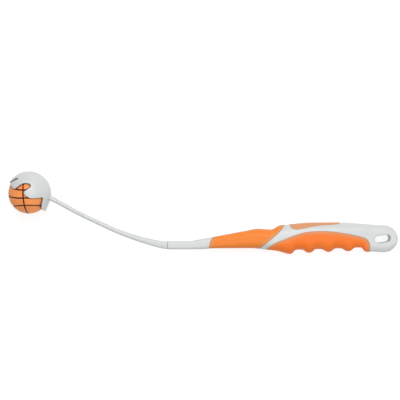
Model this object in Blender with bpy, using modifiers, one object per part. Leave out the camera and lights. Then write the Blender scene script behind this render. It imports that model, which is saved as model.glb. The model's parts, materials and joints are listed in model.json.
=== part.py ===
"""Dog ball thrower: a ball in a fingered cup, on a springy arm with a moulded handle.

The thrower is modelled in a straight frame of its own and then laid on its side. In that frame
the ball's centre is the origin, X runs towards the handle, Y towards the thumb side, and Z is
square to the middle plane. All sizes are in metres.
"""
import math

import bmesh
import bpy
import numpy as np
from mathutils import Matrix, Vector

# Fits between pieces
SEAT_GAP = 0.0003
BALL_CLEARANCE = 0.0005
CUT_OVERRUN = 0.004

# Ball
BALL_DIAMETER = 0.0508
BALL_WALL = 0.0045
BALL_SEAM_TILT = math.radians(13.6)

# Cup and the root that takes the arm
CUP_WALL = 0.0016
CUP_LEAN = math.radians(21.7)
SPIGOT_LENGTH = 0.006
SPIGOT_HEIGHT = 0.003
SPIGOT_WIDTH = 0.0064

# Arm, from the ball's centre to the mouth of the handle
ARM_REACH = 0.174
ARM_DROP = 0.065
NECK_HEIGHT = 0.0096
NECK_WIDTH = 0.013
TANG_HEIGHT = 0.0054
TANG_WIDTH = 0.006

# Handle core
HANDLE_LENGTH = 0.287
GRIP_HEIGHT = 0.039
GRIP_WIDTH = 0.028
FINGER_PITCH = 0.025
SHELL_WALL = 0.0024
RIB_THICKNESS = 0.0016
BOSS_DIAMETER = 0.007
PIN_DIAMETER = 0.0024
PIN_REACH = 0.005
LUG_RADIUS = 0.0167
LUG_WIDTH = 0.018
LUG_EDGE = 0.003
HANG_HOLE_LENGTH = 0.0198
HANG_HOLE_HEIGHT = 0.0092
HANG_HOLE_SLOPE = math.radians(8)
HANG_HOLE_CHAMFER = 0.0008

# Rubber pads on the handle
PAD_DEPTH = 0.0018
PAD_RISE = 0.0002

# Facets
CUP_TURN_STEPS = 44
BALL_TURN_STEPS = 28
ARC_STEPS = 8
INNER_ARC_STEPS = 4
CORNER_STEPS = 4
PAD_CORNER_STEPS = 3
HOLLOW_CORNER_STEPS = 2
PATH_STEPS = 3
PIN_STEPS = 12
SLOT_ARC_STEPS = 7
ROOT_STATIONS = 7
ARM_STATIONS = 15
TANG_STATIONS = 6
NECK_STATIONS = 9
GRIP_STATIONS = 31
LUG_STATIONS = 6
LUG_END_ANGLE = math.radians(83)
WELD_DISTANCE = 0.00001

CUP_OUTER = BALL_DIAMETER / 2 + BALL_CLEARANCE + CUP_WALL
CUP_INNER = CUP_OUTER - CUP_WALL
LUG_X = ARM_REACH + HANDLE_LENGTH - LUG_RADIUS

# The cup's edge seen square to the middle plane, in shares of its outer radius: across the
# opening towards the arm, then along the opening's axis past the ball's middle. It runs from the
# front finger round the lens-shaped notch and the side lobe to the tip of the rear tongue.
RIM_SHARES = (
    (-1.25, 0.02), (-0.95, 0.02), (-0.76, 0.03), (-0.62, 0.03), (-0.53, -0.02), (-0.42, -0.19),
    (-0.26, -0.38), (-0.11, -0.445), (0.03, -0.455), (0.105, -0.41), (0.10, -0.31), (0.02, -0.18),
    (-0.05, -0.07), (-0.04, 0.03), (0.06, 0.09), (0.18, 0.12), (0.31, 0.12), (0.43, 0.08),
    (0.54, 0.03), (0.66, -0.04), (0.74, -0.085), (0.79, -0.04), (0.81, 0.06), (0.83, 0.19),
    (0.86, 0.32), (0.90, 0.43), (0.95, 0.495), (1.02, 0.515), (1.25, 0.515),
)
# Half of the front opening seen along the throw, from the middle of the front lip up the narrow
# slot beside it, round the slot's end, and down the side finger: sideways, then past the middle.
FRONT_SHARES = (
    (0.00, -0.115), (0.19, -0.14), (0.34, -0.21), (0.44, -0.31), (0.50, -0.43), (0.55, -0.54),
    (0.60, -0.585), (0.645, -0.55), (0.61, -0.43), (0.56, -0.31), (0.50, -0.22), (0.48, -0.165),
    (0.54, -0.11), (0.63, -0.06), (0.72, -0.01), (0.82, 0.02), (0.95, 0.04),
)
CUP_CUT_SHARE = 1.25

# The arm's line: shares of its reach and drop. Then the tang's, inside the handle.
ARM_LINE_SHARES = (
    (0.13, 0.055), (0.20, 0.16), (0.34, 0.365), (0.51, 0.59), (0.68, 0.785), (0.86, 0.935), (1.00, 1.00),
)
TANG_LINE_SHARES = ((0.10, 0.725), (0.18, 0.675), (0.24, 0.645), (0.295, 0.62))
ARM_ROOT_SHARE = 0.20
# The arm's thickness: share of its reach, then of the neck's height and width.
ARM_HEIGHT_SHARES = (
    (0.13, 1.10), (0.16, 0.78), (0.18, 0.64), (0.20, 0.58), (0.42, 0.50), (0.60, 0.56), (0.77, 0.68),
    (0.86, 0.78), (1.00, 0.97),
)
ARM_WIDTH_SHARES = ((0.13, 0.90), (0.16, 0.78), (0.20, 0.72), (0.42, 0.68), (0.77, 0.80), (1.00, 0.95))
ARM_CORNER_SHARES = (0.80, 0.85)

# The handle's outline: share of its length, then of the grip's height measured down from its top.
NECK_LINE_SHARE = 0.722
TOP_SHARES = (
    (0.00, 0.587), (0.10, 0.585), (0.19, 0.49), (0.25, 0.41), (0.34, 0.275), (0.395, 0.212),
    (0.45, 0.238), (0.492, 0.092), (0.53, 0.06), (0.63, 0.00), (0.75, 0.003), (0.84, 0.032),
    (0.90, 0.067),
)
BOTTOM_START_SHARES = ((0.00, 0.842), (0.10, 0.838), (0.25, 0.83), (0.43, 0.828))
FIRST_RIDGE_SHARE = 0.526
RIDGE_SHARES = (0.985, 0.945, 0.925, 0.90, 0.925)
GROOVE_SHARES = (0.855, 0.84, 0.815, 0.785)
LUG_LINE_SHARE = 0.513
# Half widths as shares of the grip's half width, and the section's corner rounds as shares of its
# half width and half height.
WIDTH_SHARES = (
    (0.00, 0.50), (0.10, 0.50), (0.20, 0.57), (0.32, 0.78), (0.43, 0.95), (0.51, 1.00), (0.63, 0.94),
    (0.75, 0.83), (0.84, 0.71),
)
LUG_START_SHARE = 0.895
CORNER_WIDTH_SHARES = ((0.00, 0.85), (0.45, 0.94), (0.75, 0.94), (0.90, 0.40), (1.00, 0.40))
CORNER_HEIGHT_SHARES = ((0.00, 0.85), (0.45, 0.72), (0.75, 0.72), (0.90, 0.30), (1.00, 0.30))
LEAST_CORNER_SHARE = 0.12

# Edges of the rubber pads in the same shares, each closed past the handle's surface.
FRONT_GRIP_FRONT_SHARES = (
    (0.178, 1.00), (0.180, 0.80), (0.183, 0.65), (0.188, 0.55), (0.197, 0.47), (0.210, 0.38),
    (0.225, 0.25),
)
FRONT_GRIP_REAR_SHARES = (
    (0.512, -0.10), (0.508, 0.07), (0.498, 0.18), (0.474, 0.36), (0.438, 0.585), (0.412, 0.75),
    (0.392, 0.88), (0.378, 1.00),
)
FINGER_GRIP_SHARES = (
    (0.405, 0.97), (0.422, 0.83), (0.46, 0.655), (0.51, 0.505), (0.55, 0.40), (0.59, 0.31),
    (0.64, 0.27), (0.70, 0.275), (0.75, 0.315), (0.80, 0.385), (0.84, 0.45), (0.865, 0.53),
    (0.876, 0.66), (0.878, 0.80), (0.878, 1.00),
)
THUMB_PAD_SHARES = (
    (0.521, -0.08), (0.524, 0.06), (0.530, 0.15), (0.549, 0.206), (0.585, 0.180), (0.625, 0.120),
    (0.675, 0.075), (0.72, 0.055), (0.748, 0.01), (0.755, -0.08),
)
PAD_MARGIN_SHARE = 0.2
PAD_SPAN_SHARES = {"front_grip": (0.16, 0.53), "finger_grip": (0.39, 0.893), "thumb_pad": (0.50, 0.77)}

# Places inside the handle, as shares of its length.
TANG_PIN_SHARES = (0.08, 0.22)
BOSS_SHARES = (0.345, 0.53, 0.70, 0.83)
RIB_SHARES = (0.40, 0.465, 0.60, 0.765)
CAVITY_SHARES = (0.315, 0.865)
NECK_END_SHARE = 0.44

LIE_STEPS = 40
STEEPEST_TILT = math.radians(10)

PLASTIC_WHITE = (0.80, 0.83, 0.83, 1.0)
RUBBER_ORANGE = (0.93, 0.23, 0.035, 1.0)
RUBBER_BALL = (0.86, 0.25, 0.06, 1.0)
PLASTIC_ROUGHNESS = 0.38
GRIP_ROUGHNESS = 0.55
BALL_ROUGHNESS = 0.5


def clear_scene():
    """Remove whatever objects the file opens with."""
    for old in list(bpy.data.objects):
        bpy.data.objects.remove(old, do_unlink=True)


def make_collection(name):
    """Add an empty collection to the scene."""
    collection = bpy.data.collections.new(name)
    bpy.context.scene.collection.children.link(collection)
    return collection


def make_material(name, colour, roughness):
    """Make a plain moulded finish."""
    material = bpy.data.materials.new(name)
    material.use_nodes = True
    shader = material.node_tree.nodes["Principled BSDF"]
    shader.inputs["Base Color"].default_value = colour
    shader.inputs["Roughness"].default_value = roughness
    shader.inputs["Metallic"].default_value = 0.0
    return material


def smooth_through(points, level_ends=False):
    """Return a smooth function through points in rising X order that never overshoots them."""
    xs, ys = (np.array(column, dtype=float) for column in zip(*points))
    steps = np.diff(xs)
    slopes = np.diff(ys) / steps
    tangents = [0.0 if level_ends else slopes[0]]
    for before, after in zip(slopes, slopes[1:]):
        same_way = before * after > 0
        tangents.append(2 * before * after / (before + after) if same_way else 0.0)
    tangents.append(0.0 if level_ends else slopes[-1])

    def value(x):
        piece = int(np.clip(np.searchsorted(xs, x) - 1, 0, len(steps) - 1))
        step = steps[piece]
        t = min(max((x - xs[piece]) / step, 0.0), 1.0)
        start = (1 + 2 * t) * (1 - t) ** 2 * ys[piece] + t * (1 - t) ** 2 * step * tangents[piece]
        end = t * t * (3 - 2 * t) * ys[piece + 1] + t * t * (t - 1) * step * tangents[piece + 1]
        return start + end

    return value


def smooth_path(points):
    """Return a finer path through points in a plane, rounded by the lengths between them."""
    points = [np.array(point, dtype=float) for point in points]
    spans = [np.linalg.norm(after - before) for before, after in zip(points, points[1:])]
    slopes = [(after - before) / span for before, after, span in zip(points, points[1:], spans)]
    tangents = [slopes[0]]
    for i in range(1, len(slopes)):
        weight = spans[i - 1] / (spans[i - 1] + spans[i])
        tangents.append((1 - weight) * slopes[i - 1] + weight * slopes[i])
    tangents.append(slopes[-1])
    path = []
    for i, span in enumerate(spans):
        for t in np.arange(PATH_STEPS) / PATH_STEPS:
            start = (1 + 2 * t) * (1 - t) ** 2 * points[i] + t * (1 - t) ** 2 * span * tangents[i]
            end = t * t * (3 - 2 * t) * points[i + 1] + t * t * (t - 1) * span * tangents[i + 1]
            path.append(start + end)
    path.append(points[-1])
    return path


def grow_outline(outline, distance):
    """Move each side of a closed outline outwards by a distance."""
    points = [np.array(point, dtype=float) for point in outline]
    area = sum(a[0] * b[1] - b[0] * a[1] for a, b in zip(points, points[1:] + points[:1]))
    turn = math.copysign(1.0, area)
    grown = []
    for before, point, after in zip(points[-1:] + points[:-1], points, points[1:] + points[:1]):
        normals = []
        for side in (point - before, after - point):
            side = side / np.linalg.norm(side)
            normals.append(np.array((side[1], -side[0])) * turn)
        middle = normals[0] + normals[1]
        grown.append(point + middle * distance * 2 / np.dot(middle, middle))
    return grown


def object_from(mesh_data, name, collection, material=None):
    """Make an object from a bmesh, with its faces pointing out."""
    bmesh.ops.recalc_face_normals(mesh_data, faces=mesh_data.faces)
    mesh = bpy.data.meshes.new(name)
    mesh_data.to_mesh(mesh)
    mesh_data.free()
    piece = bpy.data.objects.new(name, mesh)
    collection.objects.link(piece)
    if material:
        mesh.materials.append(material)
    return piece


def loft(name, rings, collection, material=None):
    """Skin a row of rings that have as many points each, and close both ends."""
    shape = bmesh.new()
    loops = [[shape.verts.new(point) for point in ring] for ring in rings]
    for near, far in zip(loops, loops[1:]):
        for i in range(len(near)):
            j = (i + 1) % len(near)
            shape.faces.new((near[i], near[j], far[j], far[i]))
    shape.faces.new(loops[0])
    shape.faces.new(loops[-1])
    return object_from(shape, name, collection, material)


def prism(name, outline, frame, near, far, collection):
    """Extrude an outline in a frame's XY plane from one depth to another."""
    rings = [[frame @ Vector((x, y, depth)) for x, y in outline] for depth in (near, far)]
    return loft(name, rings, collection)


def rod(name, centre, radius, near, far, collection):
    """Make a round rod along Z."""
    shape = bmesh.new()
    place = Matrix.Translation((centre[0], centre[1], (near + far) / 2))
    bmesh.ops.create_cone(
        shape, cap_ends=True, segments=PIN_STEPS, radius1=radius, radius2=radius, depth=far - near,
        matrix=place,
    )
    return object_from(shape, name, collection)


def block(name, low, high, collection):
    """Make a box between two corners."""
    shape = bmesh.new()
    low, high = Vector(low), Vector(high)
    place = Matrix.Translation((low + high) / 2) @ Matrix.Diagonal((*(high - low), 1))
    bmesh.ops.create_cube(shape, size=1, matrix=place)
    return object_from(shape, name, collection)


def turned(name, profile, steps, frame, collection, material=None):
    """Turn a profile of radius and height pairs about a frame's Z axis."""
    shape = bmesh.new()
    corners = [shape.verts.new((radius, 0, height)) for radius, height in profile]
    for start, end in zip(corners, corners[1:]):
        shape.edges.new((start, end))
    if profile[0][0] > 0:
        shape.edges.new((corners[-1], corners[0]))
    piece = object_from(shape, name, collection, material)
    screw = piece.modifiers.new("turn", "SCREW")
    screw.axis = "Z"
    screw.steps = screw.render_steps = steps
    screw.use_merge_vertices = True
    screw.merge_threshold = WELD_DISTANCE
    piece.matrix_world = frame
    return piece


def arc(radius, end_height, steps):
    """Return a profile's quarter arc, from the pole down to a height."""
    end = math.asin(end_height / radius)
    angles = np.linspace(math.pi / 2, end, steps + 1)
    points = [(radius * math.cos(angle), radius * math.sin(angle)) for angle in angles]
    points[0] = (0.0, radius)
    return points


def combine(target, tool, operation):
    """Join a tool to a piece, or cut it away, by a Boolean."""
    boolean = target.modifiers.new(operation.lower() + "_" + tool.name, "BOOLEAN")
    boolean.operation = operation
    boolean.solver = "EXACT"
    boolean.object = tool
    tool.hide_render = True
    tool.display_type = "WIRE"


def half_section(top, bottom, half_width, corner, inset=0.0, steps=CORNER_STEPS):
    """Return the side and height of points down one side of a rounded section."""
    middle = (top + bottom) / 2
    half_height = (top - bottom) / 2
    round_side = max(half_width * corner[0] - inset, half_width * LEAST_CORNER_SHARE)
    round_height = max(half_height * corner[1] - inset, half_height * LEAST_CORNER_SHARE)
    flat_side = half_width - inset - round_side
    flat_height = half_height - inset - round_height
    quarter = []
    for angle in np.linspace(0, math.pi / 2, steps + 1):
        side = flat_side + round_side * math.sin(angle)
        quarter.append((side, flat_height + round_height * math.cos(angle)))
    upper = [(side, middle + height) for side, height in quarter]
    lower = [(side, middle - height) for side, height in reversed(quarter)]
    return upper + lower


def whole_section(side_points):
    """Mirror one side's points across the middle plane into a closed section."""
    return side_points + [(-side, height) for side, height in reversed(side_points)]


# The lines that the arm and the handle follow

def handle_x(share):
    """Return the place along X of a share of the handle's length."""
    return ARM_REACH + share * HANDLE_LENGTH


def handle_y(share):
    """Return the place along Y of a share of the grip's height."""
    return -ARM_DROP + (NECK_LINE_SHARE - share) * GRIP_HEIGHT


def handle_points(shares):
    """Turn shares of the handle into places."""
    return [(handle_x(along), handle_y(down)) for along, down in shares]


def bottom_points():
    """Return the underside's points: the plain front, then the finger ridges and grooves."""
    points = handle_points(BOTTOM_START_SHARES)
    first = handle_x(FIRST_RIDGE_SHARE)
    for i, ridge in enumerate(RIDGE_SHARES):
        points.append((first + i * FINGER_PITCH, handle_y(ridge)))
        if i < len(GROOVE_SHARES):
            points.append((first + (i + 1 / 2) * FINGER_PITCH, handle_y(GROOVE_SHARES[i])))
    return points


LUG_Y = handle_y(LUG_LINE_SHARE)
top_line = smooth_through(handle_points(TOP_SHARES) + [(LUG_X, LUG_Y + LUG_RADIUS)], level_ends=True)
bottom_line = smooth_through(bottom_points() + [(LUG_X, LUG_Y - LUG_RADIUS)], level_ends=True)
width_line = smooth_through(
    [(handle_x(along), share * GRIP_WIDTH / 2) for along, share in WIDTH_SHARES]
    + [(handle_x(LUG_START_SHARE), LUG_WIDTH / 2), (handle_x(1), LUG_WIDTH / 2)], level_ends=True,
)
corner_width_line = smooth_through([(handle_x(along), share) for along, share in CORNER_WIDTH_SHARES])
corner_height_line = smooth_through([(handle_x(along), share) for along, share in CORNER_HEIGHT_SHARES])
arm_line = smooth_through(
    [(along * ARM_REACH, -down * ARM_DROP) for along, down in ARM_LINE_SHARES]
    + handle_points(TANG_LINE_SHARES),
)
arm_height_line = smooth_through(
    [(along * ARM_REACH, share * NECK_HEIGHT / 2) for along, share in ARM_HEIGHT_SHARES])
arm_width_line = smooth_through(
    [(along * ARM_REACH, share * NECK_WIDTH / 2) for along, share in ARM_WIDTH_SHARES])


def arm_ring(x, half_height, half_width):
    """Return a closed section of the arm, square to its line at X."""
    step = SEAT_GAP
    slope = (arm_line(x + step) - arm_line(x - step)) / (2 * step)
    across = Vector((-slope, 1, 0)).normalized()
    centre = Vector((x, arm_line(x), 0))
    section = whole_section(half_section(half_height, -half_height, half_width, ARM_CORNER_SHARES))
    return [centre + across * height + Vector((0, 0, side)) for side, height in section]


def handle_ring(x, inset, half=False, steps=CORNER_STEPS):
    """Return a section of the handle at X, its surface moved in by an inset."""
    top, bottom = top_line(x), bottom_line(x)
    half_width = width_line(x)
    if x > LUG_X:
        rise = math.sqrt(LUG_RADIUS ** 2 - (x - LUG_X) ** 2)
        top, bottom = LUG_Y + rise, LUG_Y - rise
        past_edge = max(x - (handle_x(1) - LUG_EDGE), 0)
        half_width += math.sqrt(LUG_EDGE ** 2 - past_edge ** 2) - LUG_EDGE
    corner = (corner_width_line(x), corner_height_line(x))
    side_points = half_section(top, bottom, half_width, corner, inset, steps)
    if half:
        parting = SEAT_GAP / 2
        section = [(parting, side_points[0][1])] + side_points + [(parting, side_points[-1][1])]
    else:
        section = whole_section(side_points)
    return [Vector((x, height, side)) for side, height in section]


def handle_stations(start=0.0, end=None):
    """Return the places along X of the handle's sections between two shares of its length."""
    neck = np.linspace(0, NECK_END_SHARE, NECK_STATIONS, endpoint=False)
    grip = np.linspace(NECK_END_SHARE, LUG_START_SHARE, GRIP_STATIONS)
    stations = [handle_x(share) for share in (*neck, *grip)]
    lug_angles = np.linspace(0, LUG_END_ANGLE, LUG_STATIONS)
    stations += [LUG_X + LUG_RADIUS * math.sin(angle) for angle in lug_angles]
    if end is None:
        return stations
    inner = [x for x in stations if handle_x(start) + SEAT_GAP < x < handle_x(end) - SEAT_GAP]
    return [handle_x(start)] + inner + [handle_x(end)]


def handle_body(name, inset, start, end, collection, material=None, steps=CORNER_STEPS):
    """Make the handle's whole shape between two shares of its length, moved in by an inset."""
    rings = [handle_ring(x, inset, steps=steps) for x in handle_stations(start, end)]
    return loft(name, rings, collection, material)


# The ball

def make_ball(collection, material):
    """Make the hollow ball as two moulded halves that meet on a seam."""
    outer = BALL_DIAMETER / 2
    inner = outer - BALL_WALL
    parting = SEAT_GAP / 2
    profile = arc(outer, parting, ARC_STEPS) + arc(inner, parting, INNER_ARC_STEPS)[::-1]
    seam_turn = math.pi / 2 - BALL_SEAM_TILT
    halves = []
    for name, turn in (("ball_half_upper", -seam_turn), ("ball_half_lower", math.pi - seam_turn)):
        frame = Matrix.Rotation(turn, 4, "X")
        halves.append(turned(name, profile, BALL_TURN_STEPS, frame, collection, material))
    return halves


# The cup

def cup_solid(name, radius, length, frame, collection, material=None):
    """Make a solid dome on a straight cylinder, opening along the frame's -Z."""
    profile = arc(radius, 0, ARC_STEPS) + [(radius, -length), (0.0, -length)]
    return turned(name, profile, CUP_TURN_STEPS, frame, collection, material)


def make_cup(pieces, cutters, material):
    """Make the shell, join the arm's root to it, hollow it and cut its fingers."""
    side_frame = Matrix.Rotation(-CUP_LEAN, 4, "Z")
    dome_frame = side_frame @ Matrix.Rotation(-math.pi / 2, 4, "X")
    front_frame = side_frame @ Matrix.Rotation(math.pi / 2, 4, "Y")
    reach = CUP_CUT_SHARE * CUP_OUTER

    cup = cup_solid("cup", CUP_OUTER, reach, dome_frame, pieces, material)
    combine(cup, make_root(cutters), "UNION")
    combine(cup, cup_solid("cup_hollow", CUP_INNER, 2 * reach, dome_frame, cutters), "DIFFERENCE")

    rim = [(CUP_OUTER * across, -CUP_OUTER * past) for across, past in smooth_path(RIM_SHARES)]
    rim += [(reach, -2 * reach), (-reach, -2 * reach)]
    combine(cup, prism("rim_cut", rim, side_frame, -reach, reach, cutters), "DIFFERENCE")

    mirrored = [(-across, past) for across, past in FRONT_SHARES[:0:-1]]
    path = smooth_path(mirrored + list(FRONT_SHARES))
    front = [(CUP_OUTER * across, -CUP_OUTER * past) for across, past in path]
    far_side = front[-1][0]
    front += [(far_side, -2 * reach), (-far_side, -2 * reach)]
    combine(cup, prism("front_cut", front, front_frame, -reach, 0, cutters), "DIFFERENCE")

    root_end = ARM_ROOT_SHARE * ARM_REACH
    socket = spigot_rings(root_end - SPIGOT_LENGTH - SEAT_GAP, root_end + CUT_OVERRUN, SEAT_GAP)
    combine(cup, loft("spigot_socket", socket, cutters), "DIFFERENCE")
    return cup


def make_root(cutters):
    """Make the flared stub on the cup that takes the arm's spigot."""
    start = ARM_LINE_SHARES[0][0] * ARM_REACH
    stations = np.linspace(start, ARM_ROOT_SHARE * ARM_REACH, ROOT_STATIONS)
    rings = [arm_ring(x, arm_height_line(x), arm_width_line(x)) for x in stations]
    return loft("arm_root", rings, cutters)


def spigot_rings(start, end, gap):
    """Return the sections of the spigot, or with a gap those of its socket."""
    half_height = SPIGOT_HEIGHT / 2 + gap
    half_width = SPIGOT_WIDTH / 2 + gap
    return [arm_ring(x, half_height, half_width) for x in (start, end)]


# The arm

def tang_rings(start, end, gap):
    """Return the sections of the tang, or with a gap those of its slot."""
    half_height = TANG_HEIGHT / 2 + gap
    half_width = TANG_WIDTH / 2 + gap
    return [arm_ring(x, half_height, half_width) for x in np.linspace(start, end, TANG_STATIONS)]


def make_arm(pieces, cutters, material):
    """Make the rod with its spigot and its tang, and drill the tang for the shells' pins."""
    start = ARM_ROOT_SHARE * ARM_REACH + SEAT_GAP
    end = ARM_REACH - SEAT_GAP
    tang_end = handle_x(TANG_LINE_SHARES[-1][0])
    rings = spigot_rings(start - SPIGOT_LENGTH, start, 0)
    for x in np.linspace(start, end, ARM_STATIONS):
        rings.append(arm_ring(x, arm_height_line(x), arm_width_line(x)))
    rings += tang_rings(end, tang_end, 0)
    arm = loft("arm", rings, pieces, material)
    for i, share in enumerate(TANG_PIN_SHARES):
        x = handle_x(share)
        radius = PIN_DIAMETER / 2 + SEAT_GAP
        hole = rod(f"tang_hole_{i + 1}", (x, arm_line(x)), radius, -TANG_WIDTH, TANG_WIDTH, cutters)
        combine(arm, hole, "DIFFERENCE")
    return arm


# The handle

def pad_outline(name):
    """Return a pad's closed outline, drawn past the handle's surface."""
    over = handle_y(-PAD_MARGIN_SHARE)
    under = handle_y(1 + PAD_MARGIN_SHARE)
    if name == "front_grip":
        front = handle_points(FRONT_GRIP_FRONT_SHARES)
        rear = handle_points(FRONT_GRIP_REAR_SHARES)
        outline = smooth_path(front) + [(front[-1][0], over), (rear[0][0], over)] + smooth_path(rear)
        return outline + [(rear[-1][0], under), (front[0][0], under)]
    edge = handle_points(FINGER_GRIP_SHARES if name == "finger_grip" else THUMB_PAD_SHARES)
    margin = under if name == "finger_grip" else over
    return smooth_path(edge) + [(edge[-1][0], margin), (edge[0][0], margin)]


def make_pad(name, pieces, cutters, material):
    """Make a pad: the slice of the handle's skin inside its outline."""
    start, end = PAD_SPAN_SHARES[name]
    pad = handle_body(name, -PAD_RISE, start, end, pieces, material)
    outline = pad_outline(name)
    side = prism(name + "_outline", outline, Matrix.Identity(4), -GRIP_WIDTH, GRIP_WIDTH, cutters)
    combine(pad, side, "INTERSECT")
    overrun = CUT_OVERRUN / HANDLE_LENGTH
    inset = PAD_DEPTH - SEAT_GAP
    ends = (start - overrun, end + overrun)
    inner = handle_body(name + "_inner", inset, *ends, cutters, steps=PAD_CORNER_STEPS)
    combine(pad, inner, "DIFFERENCE")
    return pad


def make_pocket(name, cutters):
    """Make the cutter for the pocket that a pad sits in."""
    start, end = PAD_SPAN_SHARES[name]
    outline = grow_outline(pad_outline(name), SEAT_GAP)
    pocket = prism(name + "_pocket", outline, Matrix.Identity(4), -GRIP_WIDTH, GRIP_WIDTH, cutters)
    overrun = 2 * CUT_OVERRUN / HANDLE_LENGTH
    ends = (start - overrun, end + overrun)
    floor = handle_body(name + "_floor", PAD_DEPTH, *ends, cutters, steps=PAD_CORNER_STEPS)
    combine(pocket, floor, "DIFFERENCE")
    return pocket


def make_cavity(cutters):
    """Make the cutter for the handle's hollow, which leaves the ribs."""
    start, end = CAVITY_SHARES
    inset = PAD_DEPTH + SHELL_WALL
    cavity = handle_body("cavity", inset, start, end, cutters, steps=HOLLOW_CORNER_STEPS)
    over, under = handle_y(-PAD_MARGIN_SHARE), handle_y(1 + PAD_MARGIN_SHARE)
    for i, share in enumerate(RIB_SHARES):
        x = handle_x(share)
        low = (x - RIB_THICKNESS / 2, under, -GRIP_WIDTH)
        high = (x + RIB_THICKNESS / 2, over, GRIP_WIDTH)
        combine(cavity, block(f"rib_{i + 1}", low, high, cutters), "DIFFERENCE")
    return cavity


def add_bosses(shell, side, cutters):
    """Join the pin bosses to a shell, each from the middle plane to inside the side wall."""
    for i, (x, y) in enumerate(boss_centres()):
        wall = min(width_line(x - BOSS_DIAMETER / 2), width_line(x + BOSS_DIAMETER / 2))
        ends = sorted((side * SEAT_GAP / 2, side * (wall - PAD_DEPTH - SHELL_WALL / 2)))
        boss = rod(f"{shell.name}_boss_{i + 1}", (x, y), BOSS_DIAMETER / 2, *ends, cutters)
        combine(shell, boss, "UNION")


def boss_centres():
    """Return the centres of the pin bosses in the hollow."""
    places = [handle_x(share) for share in BOSS_SHARES]
    return [(x, (top_line(x) + bottom_line(x)) / 2) for x in places]


def pin_centres():
    """Return the centres of all the locating pins: those through the tang, then the bosses'."""
    tang = [(handle_x(share), arm_line(handle_x(share))) for share in TANG_PIN_SHARES]
    return tang + boss_centres()


def slot_outline(grow):
    """Return the outline of the hanging hole, a slot with round ends, grown by a distance."""
    radius = HANG_HOLE_HEIGHT / 2 + grow
    straight = (HANG_HOLE_LENGTH - HANG_HOLE_HEIGHT) / 2
    turn = Matrix.Rotation(HANG_HOLE_SLOPE, 2)
    outline = []
    for side in (1, -1):
        for angle in np.linspace(-math.pi / 2, math.pi / 2, SLOT_ARC_STEPS):
            point = Vector((side * (straight + radius * math.cos(angle)), side * radius * math.sin(angle)))
            point = turn @ point
            outline.append((LUG_X + point.x, LUG_Y + point.y))
    return outline


def make_hang_hole(cutters):
    """Make the cutter for the hanging hole, with a chamfer at both cheeks."""
    face = LUG_WIDTH / 2
    depths = (-face - CUT_OVERRUN, -face + HANG_HOLE_CHAMFER, face - HANG_HOLE_CHAMFER, face + CUT_OVERRUN)
    growths = (CUT_OVERRUN + HANG_HOLE_CHAMFER, 0, 0, CUT_OVERRUN + HANG_HOLE_CHAMFER)
    rings = []
    for depth, grow in zip(depths, growths):
        rings.append([Vector((x, y, depth)) for x, y in slot_outline(grow)])
    return loft("hang_hole", rings, cutters)


def make_shell(name, side, cuts, pieces, cutters, material):
    """Make one half of the handle's core, on the side of the middle plane that is named."""
    rings = [handle_ring(x, 0, half=True) for x in handle_stations()]
    rings = [[Vector((point.x, point.y, side * point.z)) for point in ring] for ring in rings]
    shell = loft(name, rings, pieces, material)
    for cut in cuts:
        combine(shell, cut, "DIFFERENCE")
    add_bosses(shell, side, cutters)
    for i, centre in enumerate(pin_centres()):
        if side < 0:
            pin = rod(f"pin_{i + 1}", centre, PIN_DIAMETER / 2, -PIN_REACH, PIN_REACH, cutters)
            combine(shell, pin, "UNION")
        else:
            radius = PIN_DIAMETER / 2 + SEAT_GAP
            depth = PIN_REACH + SEAT_GAP
            socket = rod(f"socket_{i + 1}", centre, radius, -depth, depth, cutters)
            combine(shell, socket, "DIFFERENCE")
    return shell


def make_handle(pieces, cutters, plastic, rubber):
    """Make the two core shells and the three rubber pads."""
    tang_end = handle_x(TANG_LINE_SHARES[-1][0])
    slot = tang_rings(ARM_REACH - CUT_OVERRUN, tang_end + SEAT_GAP, SEAT_GAP)
    cuts = [make_pocket(name, cutters) for name in PAD_SPAN_SHARES]
    cuts += [make_cavity(cutters), loft("tang_slot", slot, cutters), make_hang_hole(cutters)]
    shells = [
        make_shell("handle_shell_left", -1, cuts, pieces, cutters, plastic),
        make_shell("handle_shell_right", 1, cuts, pieces, cutters, plastic),
    ]
    pads = [make_pad(name, pieces, cutters, rubber) for name in PAD_SPAN_SHARES]
    return shells + pads


# Laying the thrower down

def corners_of(pieces):
    """Return the corner points of the finished pieces."""
    graph = bpy.context.evaluated_depsgraph_get()
    corners = []
    for piece in pieces:
        finished = piece.evaluated_get(graph)
        corners += [tuple(finished.matrix_world @ vertex.co) for vertex in finished.data.vertices]
    return np.array(corners)


def lowest(corners, tilt):
    """Return the lowest height of the corners once the thrower is tilted about Y."""
    return (corners[:, 2] * math.cos(tilt) - corners[:, 0] * math.sin(tilt)).min()


def lie_down(pieces, cutters, cup, handle):
    """Lay the thrower on its side, so that it rests on the cup and on the handle."""
    bpy.context.view_layer.update()
    cup_corners, handle_corners = corners_of([cup]), corners_of(handle)
    level, steep = 0.0, STEEPEST_TILT
    for _ in range(LIE_STEPS):
        tilt = (level + steep) / 2
        if lowest(cup_corners, tilt) < lowest(handle_corners, tilt):
            level = tilt
        else:
            steep = tilt
    turn = Matrix.Rotation(tilt, 4, "Y")
    corners = corners_of(pieces.objects) @ np.array(turn.to_3x3()).T
    low, high = corners.min(axis=0), corners.max(axis=0)
    middle = (low + high) / 2
    rest = bpy.data.objects.new("thrower_at_rest", None)
    for piece in [*pieces.objects, *cutters.objects]:
        piece.parent = rest
    pieces.objects.link(rest)
    rest.matrix_world = Matrix.Translation((-middle[0], -middle[1], -low[2])) @ turn


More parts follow.
